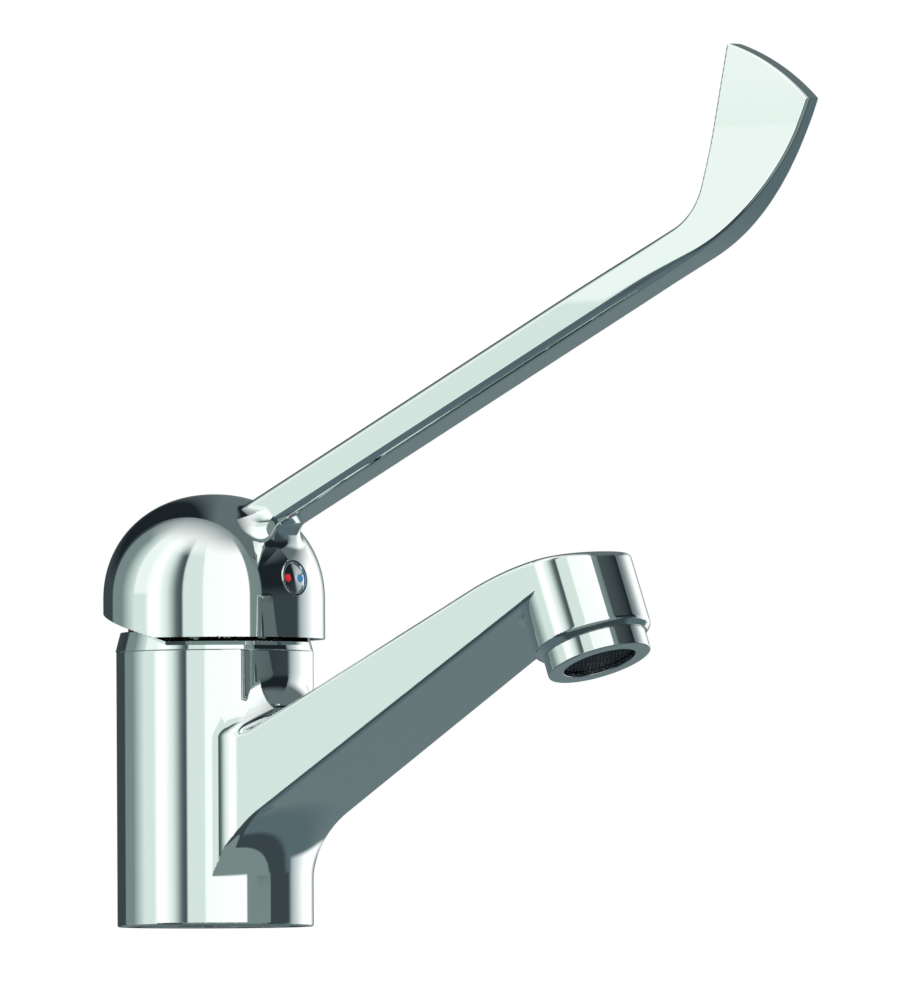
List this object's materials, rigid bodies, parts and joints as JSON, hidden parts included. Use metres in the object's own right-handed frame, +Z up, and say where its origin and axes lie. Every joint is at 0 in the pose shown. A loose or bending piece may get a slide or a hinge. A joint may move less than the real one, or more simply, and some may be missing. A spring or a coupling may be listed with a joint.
{
  "type": "elbow lever tap",
  "caption": "Chrome single-lever basin mixer with a fixed angled spout and a long cranked elbow lever ending in a flat paddle.",
  "frame": {"origin": "centre of the tap's foot on the deck, at the mouth of the fixing stud's hole", "axes": "+Z up along the body, -Y towards the spout and the lever, +X to the cold side"},
  "size_m": [0.052, 0.2123, 0.2009],
  "materials": {
    "chrome_body": "polished chrome plate",
    "chrome_lever": "polished chrome plate",
    "chrome_trim": "polished chrome plate",
    "chrome_aerator": "polished chrome plate",
    "chrome_plug": "polished chrome plate",
    "black_rubber": "matte",
    "brass": "machined",
    "steel": "turned",
    "dark_steel": "woven wire",
    "white_plastic": "moulded",
    "grey_plastic": "moulded",
    "black_plastic": "moulded",
    "red_plastic": "moulded",
    "ceramic": "lapped alumina",
    "red_mark": "enamel dot",
    "blue_mark": "enamel dot"
  },
  "bodies": {
    "fixed_body": {"body_casting": "chrome_body", "base_gasket": "black_rubber", "trim_ring": "chrome_trim", "cartridge_nut": "brass", "cartridge_housing": "white_plastic", "cartridge_base": "grey_plastic", "base_seal_hot": "black_rubber", "base_seal_cold": "black_rubber", "base_seal_mixed": "black_rubber", "port_seal_hot": "black_rubber", "port_seal_cold": "black_rubber", "port_seal_mixed": "black_rubber", "housing_ring_seal": "black_rubber", "lower_ceramic_disc": "ceramic", "hot_limit_ring": "red_plastic", "aerator_housing": "chrome_aerator", "aerator_insert": "black_plastic", "aerator_mesh": "dark_steel", "aerator_gasket": "black_rubber"},
    "turret": {"rotor": "white_plastic", "pivot_pin": "steel"},
    "handle": {"stem": "brass", "lever_handle": "chrome_lever", "set_screw": "steel", "index_plug": "chrome_plug", "hot_mark": "red_mark", "cold_mark": "blue_mark"},
    "slider": {"disc_carrier": "grey_plastic", "upper_ceramic_disc": "ceramic"}
  },
  "joints": [
    {"name": "temperature_turn", "type": "hinge", "parent": "fixed_body", "child": "turret", "pos_m": [0, 0, 0.066], "axis": [0, 0, 1], "range_deg": [-50, 50]},
    {"name": "flow_lift", "type": "hinge", "parent": "turret", "child": "handle", "pos_m": [0, 0, 0.066], "axis": [-1, 0, 0], "range_deg": [0, 20]},
    {"name": "disc_slide", "type": "slide", "parent": "turret", "child": "slider", "axis": [0, -1, 0], "range_m": [0, 0.0065]}
  ],
  "couplings": [
    {"joint": "disc_slide", "follows": "flow_lift", "m_per_rad": 0.0182}
  ]
}
